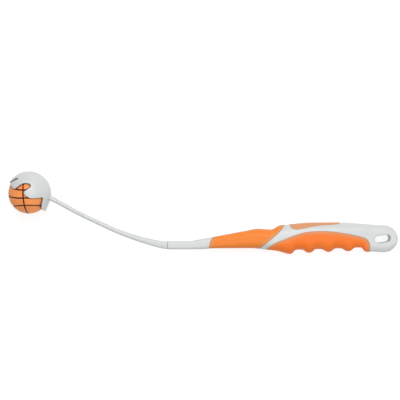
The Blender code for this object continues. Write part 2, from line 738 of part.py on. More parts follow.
def main():
    """Build the thrower."""
    clear_scene()
    pieces = make_collection("dog_ball_thrower")
    cutters = make_collection("cutters")
    plastic = make_material("white_plastic", PLASTIC_WHITE, PLASTIC_ROUGHNESS)
    rubber = make_material("orange_grip", RUBBER_ORANGE, GRIP_ROUGHNESS)
    ball_rubber = make_material("ball_rubber", RUBBER_BALL, BALL_ROUGHNESS)

    make_ball(pieces, ball_rubber)
    cup = make_cup(pieces, cutters, plastic)
    make_arm(pieces, cutters, plastic)
    handle = make_handle(pieces, cutters, plastic, rubber)
    lie_down(pieces, cutters, cup, handle)


main()
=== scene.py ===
import json
import math

import bmesh
import bpy
import numpy as np
from mathutils import Matrix, Vector
from mathutils.kdtree import KDTree


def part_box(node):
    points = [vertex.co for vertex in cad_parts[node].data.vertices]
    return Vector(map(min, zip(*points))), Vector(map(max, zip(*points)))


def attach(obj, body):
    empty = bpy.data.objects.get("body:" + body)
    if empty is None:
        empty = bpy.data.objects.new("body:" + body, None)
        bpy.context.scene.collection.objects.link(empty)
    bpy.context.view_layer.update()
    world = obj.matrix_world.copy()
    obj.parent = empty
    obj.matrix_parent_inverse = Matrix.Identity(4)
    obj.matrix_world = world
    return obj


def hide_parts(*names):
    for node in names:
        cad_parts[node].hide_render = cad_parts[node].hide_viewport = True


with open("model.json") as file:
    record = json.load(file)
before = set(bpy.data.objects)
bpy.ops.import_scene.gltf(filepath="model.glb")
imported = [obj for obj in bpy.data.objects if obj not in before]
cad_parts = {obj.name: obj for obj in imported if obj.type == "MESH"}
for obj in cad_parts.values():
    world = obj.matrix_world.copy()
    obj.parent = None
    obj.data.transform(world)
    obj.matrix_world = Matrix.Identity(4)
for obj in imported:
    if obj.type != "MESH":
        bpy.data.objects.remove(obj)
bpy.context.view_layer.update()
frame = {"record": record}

# Resting place
# The thrower lies on its side on the table, tipped a little so that its cup and its finger grip
# both touch. Its own straight frame starts at the ball's centre, with X towards the handle, Y
# towards the thumb side and Z out of its upper flat side.

MOUNTS = {mount["name"]: mount for mount in frame["record"]["mounts"]}
BALL_NODES = ("ball_half_upper", "ball_half_lower")

cheek_axis = Vector(MOUNTS["lug_face_upper"]["axis"])
tip_angle = math.atan2(cheek_axis.x, cheek_axis.z)
ball_boxes = [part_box(node) for node in BALL_NODES]
ball_low = Vector(min(low[i] for low, high in ball_boxes) for i in range(3))
ball_high = Vector(max(high[i] for low, high in ball_boxes) for i in range(3))
ball_centre = (ball_low + ball_high) / 2
at_rest = Matrix.Translation(ball_centre) @ Matrix.Rotation(tip_angle, 4, "Y")

# Camera
# The photograph looks straight down on the thrower's flat side from about arm's length and a half,
# with the ball near its left edge. One of its pixels is a size on the thrower's middle plane.

PHOTO_SIDE_PIXELS = 400
BALL_PIXEL = (29.0, 193.3)
PIXEL = 0.0012535
CAMERA_HEIGHT = 1.2
SENSOR_MM = 36.0

aim_x = (PHOTO_SIDE_PIXELS / 2 - BALL_PIXEL[0]) * PIXEL
aim_y = (BALL_PIXEL[1] - PHOTO_SIDE_PIXELS / 2) * PIXEL
lens = bpy.data.cameras.new("camera")
lens.sensor_width = SENSOR_MM
lens.lens = SENSOR_MM * CAMERA_HEIGHT / (PHOTO_SIDE_PIXELS * PIXEL)
camera = bpy.data.objects.new("camera", lens)
camera.matrix_world = at_rest @ Matrix.Translation((aim_x, aim_y, CAMERA_HEIGHT))
bpy.context.scene.collection.objects.link(camera)
bpy.context.scene.camera = camera

# Studio
# A plain white light table, glowing evenly so that no shadow falls on it, under a large soft lamp
# over the thumb side, one above and a faint one over the finger side, in a dim surround, as in a
# catalogue photograph.

TABLE_SIDE = 8.0
TABLE_SHADES = ((0.24625, 0.24822, 0.24822, 1.0), (0.25, 0.252, 0.252, 1.0))
# Each finish has such a table: its shader nodes by name, with the inputs that are set on them.
TABLE_INPUTS = {
    "mottle": {"Scale": 6.0},
    "shader": {"Roughness": 0.7, "Emission Color": (1.0, 1.0, 1.0, 1.0), "Emission Strength": 0.80},
}
SURROUND_WHITE = (0.93, 0.97, 1.0, 1.0)
SURROUND_STRENGTH = 0.28
# Each lamp's name, place, width, power and colour.
LAMPS = (
    ("key_lamp", (0.05, 0.85, 1.25), 1.1, 13.0, (1.0, 0.99, 0.975)),
    ("top_lamp", (0.35, 0.05, 1.6), 1.3, 11.5, (0.97, 0.985, 1.0)),
    ("fill_lamp", (0.1, -0.9, 0.9), 1.2, 1.8, (1.0, 1.0, 1.0)),
)


def make_finish(name, inputs, links, **kinds):
    """Make a material of named shader nodes, from their kinds, their inputs and their links."""
    finish = bpy.data.materials.new(name)
    finish.use_nodes = True
    nodes = {"shader": finish.node_tree.nodes["Principled BSDF"]}
    for node, kind in kinds.items():
        nodes[node] = finish.node_tree.nodes.new("ShaderNode" + kind)
        if kind == "Mix":
            nodes[node].data_type = "RGBA"
    for node, values in inputs.items():
        for entry, value in values.items():
            nodes[node].inputs[entry].default_value = value
    for source, output, node, entry in links:
        finish.node_tree.links.new(nodes[source].outputs[output], nodes[node].inputs[entry])
    return finish, nodes


def make_table_finish():
    """Make the table's milky acrylic: near white, glowing, with a faint mottle."""
    finish, nodes = make_finish(
        "table_acrylic", TABLE_INPUTS,
        [
            ("place", "Object", "mottle", "Vector"),
            ("mottle", "Fac", "shade", "Fac"),
            ("shade", "Color", "shader", "Base Color"),
        ],
        place="TexCoord", mottle="TexNoise", shade="ValToRGB",
    )
    for stop, shade in zip(nodes["shade"].color_ramp.elements, TABLE_SHADES):
        stop.color = shade
    return finish


table_shape = bmesh.new()
bmesh.ops.create_grid(table_shape, x_segments=1, y_segments=1, size=TABLE_SIDE / 2)
table_mesh = bpy.data.meshes.new("table")
table_shape.to_mesh(table_mesh)
table_shape.free()
table = bpy.data.objects.new("table", table_mesh)
table_mesh.materials.append(make_table_finish())
bpy.context.scene.collection.objects.link(table)

for name, place, size, power, colour in LAMPS:
    lamp = bpy.data.lights.new(name, "AREA")
    lamp.shape = "DISK"
    lamp.size = size
    lamp.energy = power
    lamp.color = colour
    stand = bpy.data.objects.new(name, lamp)
    stand.location = place
    stand.rotation_euler = (-Vector(place)).to_track_quat("-Z", "Y").to_euler()
    bpy.context.scene.collection.objects.link(stand)

surround = bpy.data.worlds.new("surround")
surround.use_nodes = True
glow = surround.node_tree.nodes["Background"]
glow.inputs["Color"].default_value = SURROUND_WHITE
glow.inputs["Strength"].default_value = SURROUND_STRENGTH
bpy.context.scene.world = surround
bpy.context.scene.view_settings.view_transform = "Standard"

# Ball
# A small hollow rubber ball in two moulded halves, with a fine pebbled skin and the black sunk
# lines of a basketball: a line round its middle, one square to it, and a bowed line each side.

BALL_DIAMETER = 0.0508
BALL_TIP = math.radians(13.6)
BALL_ROLL = math.radians(3.0)
BALL_YAW = math.radians(-7.0)
BOW_LATITUDE = math.radians(22.4)
BOW_RISE = math.radians(13.0)
LINE_WIDTH = 0.0020
LINE_DEPTH = 0.0004
BALL_START_SPLITS = 6
BALL_FINE_REACHES = (0.0021, 0.0013)
# Black of the ball's painted lines, also used as painted shade deep in its crevices.
LINE_AND_SHADE_BLACK = (0.040, 0.006, 0.002, 1.0)
PEBBLE_PITCH = 0.0008
BALL_INPUTS = {
    "mottle": {"Scale": 90.0},
    "orange": {"A": (0.95, 0.35, 0.107, 1.0), "B": (0.93, 0.255, 0.056, 1.0)},
    "line": {"From Min": LINE_WIDTH * 0.41, "From Max": LINE_WIDTH * 0.49},
    "skin": {"A": LINE_AND_SHADE_BLACK},
    # The crevice nodes paint shade: the ball darkens to near black where the cup hems it in.
    "crevice": {"Distance": 0.004},
    "depth": {"From Min": 0.50, "From Max": 0.95, "To Min": 0.9, "To Max": 0.0},
    "crevice_shade": {"B": LINE_AND_SHADE_BLACK},
    "pebbles": {"Scale": 1 / PEBBLE_PITCH},
    "bump": {"Strength": 0.35, "Distance": 0.0002},
    "shader": {"Roughness": 0.52, "Specular IOR Level": 0.3},
}
# The nodes that paint shade into a finish: its colour darkens where nearby surfaces hem it in, as
# an occlusion test finds.
CREVICE_KINDS = {"crevice": "AmbientOcclusion", "depth": "MapRange", "crevice_shade": "Mix"}

ball_turn = (Matrix.Rotation(BALL_ROLL, 3, "Z") @ Matrix.Rotation(BALL_TIP, 3, "X")
             @ Matrix.Rotation(BALL_YAW, 3, "Y"))


def line_distances(points):
    """Return how far points on the ball lie from the nearest moulded line."""
    along = points @ np.array(ball_turn)
    along /= np.linalg.norm(along, axis=1)[:, None]
    latitude = np.arcsin(np.clip(along[:, 1], -1, 1))
    longitude = np.arctan2(along[:, 0], along[:, 2])
    bow = BOW_LATITUDE + BOW_RISE * np.sin(longitude) ** 2
    middle = np.abs(latitude)
    upright = np.abs(np.arcsin(np.clip(along[:, 0], -1, 1)))
    bowed = np.abs(middle - bow)
    return np.minimum(np.minimum(middle, upright), bowed) * BALL_DIAMETER / 2


def places_of(verts):
    """Return the places of vertices as rows of an array."""
    return np.array([vert.co for vert in verts])


def put_at(verts, places):
    """Move vertices to the rows of an array."""
    for vert, place in zip(verts, places):
        vert.co = place


def make_ball():
    """Make the ball's skin, fine along its lines, and sink them."""
    shape = bmesh.new()
    paint = shape.verts.layers.float.new("line_distance")
    radius = BALL_DIAMETER / 2
    bmesh.ops.create_icosphere(shape, subdivisions=BALL_START_SPLITS, radius=radius)
    for reach in BALL_FINE_REACHES:
        middles = np.array([(edge.verts[0].co + edge.verts[1].co) / 2 for edge in shape.edges])
        near = line_distances(middles) < reach
        edges = [edge for edge, is_near in zip(shape.edges, near) if is_near]
        bmesh.ops.subdivide_edges(shape, edges=edges, cuts=1)
        bmesh.ops.triangulate(shape, faces=[face for face in shape.faces if len(face.verts) > 3])
        for vert in shape.verts:
            vert.co = vert.co.normalized() * radius
    verts = list(shape.verts)
    places = places_of(verts)
    distances = line_distances(places)
    part_across = np.clip(distances / (LINE_WIDTH / 2), 0, 1)
    depths = LINE_DEPTH * (1 + np.cos(math.pi * part_across)) / 2
    put_at(verts, places * (1 - depths / radius)[:, None])
    for vert, distance in zip(verts, distances):
        vert[paint] = distance
    return shape


def finish_mesh(shape, name, finish, place=at_rest):
    """Turn a bmesh in the thrower's frame into a smooth object where the thrower lies."""
    bmesh.ops.transform(shape, matrix=place, verts=shape.verts)
    bmesh.ops.recalc_face_normals(shape, faces=shape.faces)
    mesh = bpy.data.meshes.new(name)
    shape.to_mesh(mesh)
    shape.free()
    mesh.shade_smooth()
    mesh.materials.append(finish)
    piece = bpy.data.objects.new(name, mesh)
    bpy.context.scene.collection.objects.link(piece)
    return piece


def crevice_links(colour):
    """Return the links that give the shader a node's colour, with painted shade where it is hemmed
    in.
    """
    return [
        ("crevice", "AO", "depth", "Value"),
        ("depth", "Result", "crevice_shade", "Factor"),
        (colour, "Result", "crevice_shade", "A"),
        ("crevice_shade", "Result", "shader", "Base Color"),
    ]


def make_ball_finish():
    """Make the ball's rubber: pebbled mottled orange, black sunk lines, painted shade in crevices.
    """
    finish, nodes = make_finish(
        "ball_rubber_fine", BALL_INPUTS,
        [
            *crevice_links("skin"),
            ("place", "Object", "mottle", "Vector"),
            ("place", "Object", "pebbles", "Vector"),
            ("mottle", "Fac", "orange", "Factor"),
            ("distance", "Fac", "line", "Value"),
            ("line", "Result", "skin", "Factor"),
            ("orange", "Result", "skin", "B"),
            ("pebbles", "Distance", "height", 0),
            ("line", "Result", "height", 1),
            ("height", "Value", "bump", "Height"),
            ("bump", "Normal", "shader", "Normal"),
        ],
        place="TexCoord", mottle="TexNoise", orange="Mix", skin="Mix", distance="Attribute",
        line="MapRange", pebbles="TexVoronoi", height="Math", bump="Bump", **CREVICE_KINDS,
    )
    nodes["distance"].attribute_name = "line_distance"
    nodes["height"].operation = "MULTIPLY"
    nodes["bump"].invert = True
    return finish


ball = finish_mesh(make_ball(), "ball", make_ball_finish())
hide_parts(*BALL_NODES)
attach(ball, "ball")

# Arm
# A long springy rod moulded in white plastic, thin in the middle and thicker towards the handle.
# A spigot at its front end goes into the cup's stub, and a tang behind it into the handle.

ARM_REACH = 0.174
ARM_DROP = 0.065
NECK_HEIGHT = 0.0096
NECK_WIDTH = 0.013
STUB_END_SHARE = 0.20
SPIGOT_LENGTH = 0.006
SPIGOT_HEIGHT = 0.003
SPIGOT_WIDTH = 0.0064
TANG_LENGTH = 0.012
TANG_HEIGHT = 0.0054
TANG_WIDTH = 0.006
SEAT_GAP = 0.0003
JOINT_GAP = 0.00003
END_ROUND = 0.00006
ARM_CELL = 0.0011
ARM_ROUND_STEPS = 9
# The arm's line, in shares of its reach and of its drop below the ball's centre.
ARM_LINE_SHARES = (
    (0.13, 0.054), (0.20, 0.154), (0.34, 0.359), (0.51, 0.578), (0.68, 0.775), (0.86, 0.929),
    (1.00, 1.00), (1.10, 1.00),
)
# Its thickness, in shares of its reach and then of the neck's height and width.
ARM_HEIGHT_SHARES = (
    (0.13, 0.85), (0.16, 0.68), (0.18, 0.62), (0.20, 0.59), (0.42, 0.56), (0.60, 0.61),
    (0.77, 0.71), (0.86, 0.81), (1.00, 0.99),
)
ARM_WIDTH_SHARES = (
    (0.13, 0.90), (0.16, 0.78), (0.20, 0.72), (0.42, 0.68), (0.77, 0.80), (1.00, 0.95),
)
# How much of its section its rounded corners take up.
ARM_CORNER_SHARES = ((0.60, 0.85), (0.86, 0.70), (1.00, 0.52))
WHITE_INPUTS = {
    "cloud": {"Scale": 28.0, "Detail": 3.0},
    "white": {"A": (0.587, 0.605, 0.606, 1.0), "B": (0.602, 0.61, 0.596, 1.0)},
    # The crevice nodes paint shade: the white turns dark grey where nearby surfaces hem it in.
    "crevice": {"Distance": 0.0035},
    "depth": {"From Min": 0.25, "From Max": 0.80, "To Min": 0.9, "To Max": 0.0},
    "crevice_shade": {"B": (0.11, 0.11, 0.105, 1.0)},
    "gloss": {"To Min": 0.34, "To Max": 0.44},
    "grain": {"Scale": 2600.0},
    "bump": {"Strength": 0.12, "Distance": 0.0001},
}


def smooth_through(points, level_ends=False):
    """Return a smooth function through points in rising X order that never overshoots them."""
    xs, ys = np.array(points, dtype=float).T
    steps = np.diff(xs)
    slopes = np.diff(ys) / steps
    before, after = slopes[:-1], slopes[1:]
    same_way = before * after > 0
    middle = np.where(same_way, 2 * before * after / np.where(same_way, before + after, 1), 0)
    ends = (0, 0) if level_ends else (slopes[0], slopes[-1])
    tangents = np.concatenate([ends[:1], middle, ends[1:]])

    def value(x):
        piece = np.clip(np.searchsorted(xs, x) - 1, 0, len(steps) - 1)
        step = steps[piece]
        t = np.clip((x - xs[piece]) / step, 0, 1)
        start = (1 + 2 * t) * (1 - t) ** 2 * ys[piece] + t * (1 - t) ** 2 * step * tangents[piece]
        end = t * t * (3 - 2 * t) * ys[piece + 1] + t * t * (t - 1) * step * tangents[piece + 1]
        return start + end

    return value


def half_section(top, bottom, half_width, corner_shares, rise, steps):
    """Return the sides and heights down one side of a rounded section, raised by a rise."""
    middle, half_height = (top + bottom) / 2, (top - bottom) / 2
    round_side = half_width * corner_shares[0] + rise
    round_height = half_height * corner_shares[1] + rise
    angles = np.linspace(0, math.pi / 2, steps + 1)
    sides = half_width + rise - round_side * (1 - np.sin(angles))
    heights = half_height + rise - round_height * (1 - np.cos(angles))
    sides = np.concatenate([sides, sides[::-1]])
    return sides, np.concatenate([middle + heights, middle - heights[::-1]])


def along_arm(shares, length):
    """Return a smooth function of X through shares of the arm's reach and of a length."""
    return smooth_through([(along * ARM_REACH, share * length) for along, share in shares])


arm_line = along_arm(ARM_LINE_SHARES, -ARM_DROP)
arm_height = along_arm(ARM_HEIGHT_SHARES, NECK_HEIGHT)
arm_width = along_arm(ARM_WIDTH_SHARES, NECK_WIDTH)
arm_corner = along_arm(ARM_CORNER_SHARES, 1)


def arm_ring(x, height, width):
    """Return a closed section of the arm, square to its line at X."""
    slope = (arm_line(x + SEAT_GAP) - arm_line(x - SEAT_GAP)) / (2 * SEAT_GAP)
    corners = (arm_corner(x), arm_corner(x))
    sides, heights = half_section(height / 2, -height / 2, width / 2, corners, 0, ARM_ROUND_STEPS)
    sides, heights = np.concatenate([sides, -sides[::-1]]), np.concatenate([heights, heights[::-1]])
    across = np.array((-slope, 1, 0)) / math.hypot(slope, 1)
    return np.array((x, arm_line(x), 0)) + np.outer(heights, across) + np.outer(sides, (0, 0, 1))


def rod_ring(x, less=0.0):
    """Return a section of the arm's own rod at X, smaller all round by some length."""
    return arm_ring(x, arm_height(x) - 2 * less, arm_width(x) - 2 * less)


def of_kind(items, kind):
    """Return the vertices, the edges or the faces among what an operator has made."""
    return [item for item in items if isinstance(item, kind)]


def neighbour_in(vert, group):
    """Return the vertex of a group that an edge joins to a vertex."""
    return next(line.other_vert(vert) for line in vert.link_edges if line.other_vert(vert) in group)


def draw_out(rings):
    """Draw a circle out through closed rings of places, and close both of its ends."""
    shape = bmesh.new()
    bmesh.ops.create_circle(shape, cap_ends=True, segments=len(rings[0]), radius=1)
    verts, edges = list(shape.verts), list(shape.edges)
    put_at(verts, rings[0])
    for ring in rings[1:]:
        made = bmesh.ops.extrude_edge_only(shape, edges=edges)["geom"]
        fresh = set(of_kind(made, bmesh.types.BMVert))
        verts = [neighbour_in(vert, fresh) for vert in verts]
        put_at(verts, ring)
        edges = [line for line in of_kind(made, bmesh.types.BMEdge) if set(line.verts) <= fresh]
    bmesh.ops.contextual_create(shape, geom=edges)
    return shape


def make_arm():
    """Make the rod with its spigot and the start of its tang."""
    start, end = STUB_END_SHARE * ARM_REACH + JOINT_GAP, ARM_REACH - JOINT_GAP
    rings = [arm_ring(x, SPIGOT_HEIGHT, SPIGOT_WIDTH) for x in (start - SPIGOT_LENGTH, start)]
    rings += [rod_ring(start, END_ROUND)]
    stations = np.linspace(start + END_ROUND, end, int((end - start) / ARM_CELL))
    rings += [rod_ring(x) for x in stations]
    rings += [arm_ring(x, TANG_HEIGHT, TANG_WIDTH) for x in (end, end + TANG_LENGTH)]
    return draw_out(rings)


def make_white_finish():
    """Make the white plastic: satin, with a fine grain, faint clouds and painted shade in crevices.
    """
    finish, _ = make_finish(
        "white_plastic_satin", WHITE_INPUTS,
        [
            *crevice_links("white"),
            ("place", "Object", "cloud", "Vector"),
            ("place", "Object", "grain", "Vector"),
            ("cloud", "Fac", "white", "Factor"),
            ("cloud", "Fac", "gloss", "Value"),
            ("gloss", "Result", "shader", "Roughness"),
            ("grain", "Fac", "bump", "Height"),
            ("bump", "Normal", "shader", "Normal"),
        ],
        place="TexCoord", cloud="TexNoise", white="Mix", gloss="MapRange", grain="TexNoise",
        bump="Bump", **CREVICE_KINDS,
    )
    return finish


white_plastic = make_white_finish()
arm = finish_mesh(make_arm(), "arm_rod", white_plastic)
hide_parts("arm")
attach(arm, "thrower")

# Cup
# A thin springy shell moulded in white plastic: a dome over the ball with a finger each side of a
# front lip, a lobe at each side and a straight tongue behind. The arm's stub grows from its back.

CUP_WALL = 0.0016
CUP_OUTER = BALL_DIAMETER / 2 + 0.0005 + CUP_WALL
CUP_LEAN = math.radians(21.7)
CUP_LIP = 0.0005
CUP_CELL = 0.0006
CUP_WELD = CUP_CELL / 100
CUP_SKIRT_SHARE = 0.62
STUB_RINGS = 16
FAR_SHARE = 3.0
EDGE_STEP = 0.0002
FINE_PARTS = 20
LEAST_RUN = 3
LEVEL_INSET = 3
LIP_STEPS = 3
STICK_OUT_SIDES = 3
RELAX_ROUNDS = 4
RELAX_FACTOR = 0.5
# The edge seen square to the flat side, in shares of the outer radius: across the opening towards
# the arm, then along the opening's axis past the ball's middle.
RIM_SHARES = (
    (-1.25, 0.02), (-0.95, 0.02), (-0.76, 0.03), (-0.62, 0.03), (-0.53, -0.02), (-0.42, -0.19),
    (-0.26, -0.38), (-0.11, -0.445), (0.03, -0.455), (0.105, -0.41), (0.10, -0.31), (0.02, -0.18),
    (-0.05, -0.07), (-0.04, 0.03), (0.06, 0.09), (0.18, 0.12), (0.31, 0.12), (0.43, 0.08),
    (0.54, 0.03), (0.66, -0.04), (0.74, -0.085), (0.79, -0.04), (0.81, 0.06), (0.83, 0.19),
    (0.86, 0.31), (0.90, 0.41), (0.95, 0.46), (1.02, 0.475), (1.25, 0.475),
)
# Half of the front opening: sideways from the middle of the front lip, then past the middle.
FRONT_SHARES = (
    (0.00, -0.115), (0.19, -0.14), (0.34, -0.21), (0.43, -0.30), (0.485, -0.39), (0.535, -0.46),
    (0.595, -0.50), (0.655, -0.46), (0.635, -0.38), (0.59, -0.30), (0.53, -0.22), (0.495, -0.165),
    (0.54, -0.11), (0.63, -0.06), (0.72, -0.01), (0.82, 0.02), (0.95, 0.04),
)

whole_front = [(-side, past) for side, past in FRONT_SHARES[:0:-1]] + list(FRONT_SHARES)


def smooth_path(points, step):
    """Return a path through points in a plane, rounded between them, with a place every step."""
    points = np.array(points, dtype=float)
    spans = np.linalg.norm(np.diff(points, axis=0), axis=1)
    slopes = np.diff(points, axis=0) / spans[:, None]
    weights = (spans[:-1] / (spans[:-1] + spans[1:]))[:, None]
    turns = (1 - weights) * slopes[:-1] + weights * slopes[1:]
    tangents = np.vstack([slopes[:1], turns, slopes[-1:]])
    path = []
    for i, span in enumerate(spans):
        count = max(int(span / step), 1)
        t = (np.arange(count) / count)[:, None]
        start = (1 + 2 * t) * (1 - t) ** 2 * points[i] + t * (1 - t) ** 2 * span * tangents[i]
        end = t * t * (3 - 2 * t) * points[i + 1] + t * t * (t - 1) * span * tangents[i + 1]
        path.append(start + end)
    return np.vstack(path + [points[-1:]])


def evenly(rows, lengths_of, step):
    """Return an array's rows spread evenly, a step apart, along the path in some of its columns."""
    lengths = np.linalg.norm(np.diff(rows[:, lengths_of], axis=0), axis=1)
    lengths = np.concatenate([[0], np.cumsum(lengths)])
    wanted = np.linspace(0, lengths[-1], max(int(lengths[-1] / step), 2))
    return np.column_stack([np.interp(wanted, lengths, column) for column in rows.T])


def inside(outline, places):
    """Say which places of a plane lie inside a closed outline."""
    crossings = np.zeros(len(places), dtype=int)
    for (ax, ay), (bx, by) in zip(outline, np.roll(outline, -1, axis=0)):
        if ay == by:
            continue
        between = (places[:, 1] >= min(ay, by)) & (places[:, 1] < max(ay, by))
        x = ax + (places[:, 1] - ay) * (bx - ax) / (by - ay)
        crossings += between & (places[:, 0] < x)
    return crossings % 2 == 1


def runs_of(flags):
    """Return the numbers in each unbroken run of true flags."""
    numbers = np.flatnonzero(flags)
    runs = np.split(numbers, np.flatnonzero(np.diff(numbers) > 1) + 1)
    return [run for run in runs if len(run) >= LEAST_RUN]


class Edge:
    """A line where a skin is cut: its places, the skin's normals, and the ways off the skin.

    It is given as runs of places and normals. Runs with level ends start and stop on the middle
    plane, and leave the skin along that plane there."""

    def __init__(self, runs, gone, level_ends=False):
        ways = [self.off_ways_of(run, normals, gone, level_ends) for run, normals in runs]
        self.places = np.vstack([run for run, _ in runs])
        self.normals = np.vstack([normals for _, normals in runs])
        self.off_ways = np.vstack(ways)
        starts = np.cumsum([0] + [len(run) for run, _ in runs])
        self.ends = [*starts[:-1], *(starts[1:] - 1)] if level_ends else []
        self.tree = KDTree(len(self.places))
        for i, place in enumerate(self.places):
            self.tree.insert(place, i)
        self.tree.balance()

    @staticmethod
    def off_ways_of(run, normals, gone, level_ends):
        """Return the ways that lead square off the skin from a run of places."""
        ways = np.cross(np.gradient(run, axis=0), normals)
        ways /= np.linalg.norm(ways, axis=1)[:, None]
        if np.mean(gone(run + ways * SEAT_GAP)) < 1 / 2:
            ways *= -1
        if level_ends:
            for end, inner in ((0, LEVEL_INSET), (-1, -1 - LEVEL_INSET)):
                level = ways[inner] * (1, 1, 0)
                ways[end] = level / np.linalg.norm(level)
        return ways

    def nearest(self, place):
        """Return the number and the distance of the place nearest to another."""
        _, number, distance = self.tree.find(place)
        return number, distance

    def nearest_end(self, place):
        """Return the number of the end nearest to a place."""
        return min(self.ends, key=lambda end: np.linalg.norm(self.places[end] - np.array(place)))

    def ring(self, number, out, deep):
        """Return the place that is so far off the skin past the edge, and so deep below it."""
        place, off_way, normal = self.places[number], self.off_ways[number], self.normals[number]
        return Vector(place + out * off_way - deep * normal)


def rounded_lip(radius, steps=LIP_STEPS):
    """Return a rounded lip's rings, as how far past the edge and how deep each lies."""
    angles = np.linspace(0, math.pi / 2, steps + 1)[1:]
    return [(radius * (math.sin(angle) - 1), radius * (1 - math.cos(angle))) for angle in angles]


def faces_beside(face):
    """Return the faces that share an edge with a face."""
    return [other for line in face.edges for other in line.link_faces if other is not face]


def trim_steps(lost):
    """Flip the single cells that stick out along a cut, until none does."""
    changed = True
    while changed:
        changed = False
        along_cut = {other for face in lost for other in (face, *faces_beside(face))}
        for face in sorted(along_cut, key=lambda face: face.index):
            unlike = sum((other in lost) != (face in lost) for other in faces_beside(face))
            if unlike >= STICK_OUT_SIDES:
                lost ^= {face}
                changed = True


def relax(shape, verts):
    """Even out the cells round some vertices."""
    for _ in range(RELAX_ROUNDS):
        bmesh.ops.smooth_vert(shape, verts=verts, factor=RELAX_FACTOR,
                              use_axis_x=True, use_axis_y=True, use_axis_z=True)


def cut_skin(shape, gone, edge, lip):
    """Split off the faces that are gone or lie on the lip, and seat the skin's new border.

    It returns the split-off faces, and the border's vertices on the skin and on those faces, each
    with its number along the edge. The skin's border is seated a lip's width short of the edge."""
    shape.faces.index_update()
    faces = list(shape.faces)
    centres = np.array([face.calc_center_median() for face in faces])
    lost = {face for face, centre, is_gone in zip(faces, centres, gone(centres))
            if is_gone or edge.nearest(centre)[1] < lip}
    trim_steps(lost)
    numbers = {}
    for vert in shape.verts:
        if len({face in lost for face in vert.link_faces}) == 2:
            if vert.is_boundary and edge.ends:
                numbers[tuple(vert.co)] = edge.nearest_end(vert.co)
            else:
                numbers[tuple(vert.co)] = edge.nearest(vert.co)[0]
    split_off = of_kind(bmesh.ops.split(shape, geom=list(lost))["geom"], bmesh.types.BMFace)
    lost_verts = {vert for face in split_off for vert in face.verts}
    border, seated = {}, {}
    for vert in shape.verts:
        if tuple(vert.co) in numbers:
            (seated if vert in lost_verts else border)[vert] = numbers[tuple(vert.co)]
    for vert, number in border.items():
        vert.co = edge.ring(number, -lip, 0)
    near = {other for vert in border for face in vert.link_faces for other in face.verts}
    near |= {other for vert in near for face in vert.link_faces for other in face.verts}
    relax(shape, [vert for vert in near if not vert.is_boundary])
    return split_off, border, seated


def run_lip(shape, border, edge, rings):
    """Extrude a skin's border through the rings of its lip."""
    lines = [line for line in shape.edges
             if line.is_boundary and all(vert in border for vert in line.verts)]
    for out, deep in rings:
        made = bmesh.ops.extrude_edge_only(shape, edges=lines)["geom"]
        fresh = {vert: border[neighbour_in(vert, border)]
                 for vert in of_kind(made, bmesh.types.BMVert)}
        for vert, number in fresh.items():
            vert.co = edge.ring(number, out, deep)
        lines = [line for line in of_kind(made, bmesh.types.BMEdge)
                 if all(vert in fresh for vert in line.verts)]
        border = fresh


def sink(vert, depth):
    """Return the place that lies below a vertex of a skin, on the middle plane if the vertex is."""
    way = vert.normal.copy()
    if vert.is_boundary:
        way.z = 0
    return vert.co - way.normalized() * depth


def line_skin(shape, border, edge, out, wall):
    """Line a skin with an inner face a wall's thickness below it."""
    shape.normal_update()
    outer = list(shape.verts)
    places = [edge.ring(border[vert], out, wall) if vert in border else sink(vert, wall)
              for vert in outer]
    copies = bmesh.ops.duplicate(shape, geom=outer + list(shape.edges) + list(shape.faces))
    for vert, place in zip(outer, places):
        copies["vert_map"][vert].co = place


def make_dome():
    """Turn the cup's profile, a dome with a straight skirt, round the opening's axis."""
    shape = bmesh.new()
    angles = np.linspace(math.pi / 2, 0, int(math.pi / 2 * CUP_OUTER / CUP_CELL))
    skirt = np.arange(CUP_CELL, CUP_SKIRT_SHARE * CUP_OUTER, CUP_CELL)
    profile = [(CUP_OUTER * math.cos(angle), CUP_OUTER * math.sin(angle), 0) for angle in angles]
    profile += [(CUP_OUTER, -down, 0) for down in skirt]
    verts = [shape.verts.new(place) for place in profile]
    for start, end in zip(verts, verts[1:]):
        shape.edges.new((start, end))
    turns = int(2 * math.pi * CUP_OUTER / CUP_CELL)
    bmesh.ops.spin(shape, geom=[*shape.verts, *shape.edges], cent=(0, 0, 0), axis=(0, 1, 0),
                   angle=2 * math.pi, steps=turns, use_merge=True)
    bmesh.ops.remove_doubles(shape, verts=shape.verts, dist=CUP_WELD)
    bmesh.ops.recalc_face_normals(shape, faces=shape.faces)
    return shape


def opening_outline(shares):
    """Return the closed outline of what is cut away past an edge, in shares of the radius."""
    path = smooth_path(shares, EDGE_STEP / CUP_OUTER)
    return np.vstack([path, [(path[-1][0], FAR_SHARE), (path[0][0], FAR_SHARE)]])


rim_outline = opening_outline(RIM_SHARES)
front_outline = opening_outline(whole_front)


def in_rim(places):
    """Say which places lie past the rim, seen square to the flat side."""
    return inside(rim_outline, np.column_stack([places[:, 0], -places[:, 1]]) / CUP_OUTER)


def in_front(places):
    """Say which places lie in the front opening, seen from the front."""
    seen = np.column_stack([places[:, 2], -places[:, 1]]) / CUP_OUTER
    return (places[:, 0] < 0) & inside(front_outline, seen)


def off_cup(places):
    """Say which places are cut away from the dome."""
    return in_rim(places) | in_front(places)


def on_cup(shares, side):
    """Lay an edge's path on the dome or its skirt, on one side of the plane it is drawn in."""
    path = smooth_path(shares, EDGE_STEP / CUP_OUTER / FINE_PARTS)
    left = 1 - path[:, 0] ** 2 - np.minimum(path[:, 1], 0) ** 2
    path, left = path[left >= 0], left[left >= 0]
    return np.column_stack([path[:, 0], -path[:, 1], side * np.sqrt(left)]) * CUP_OUTER


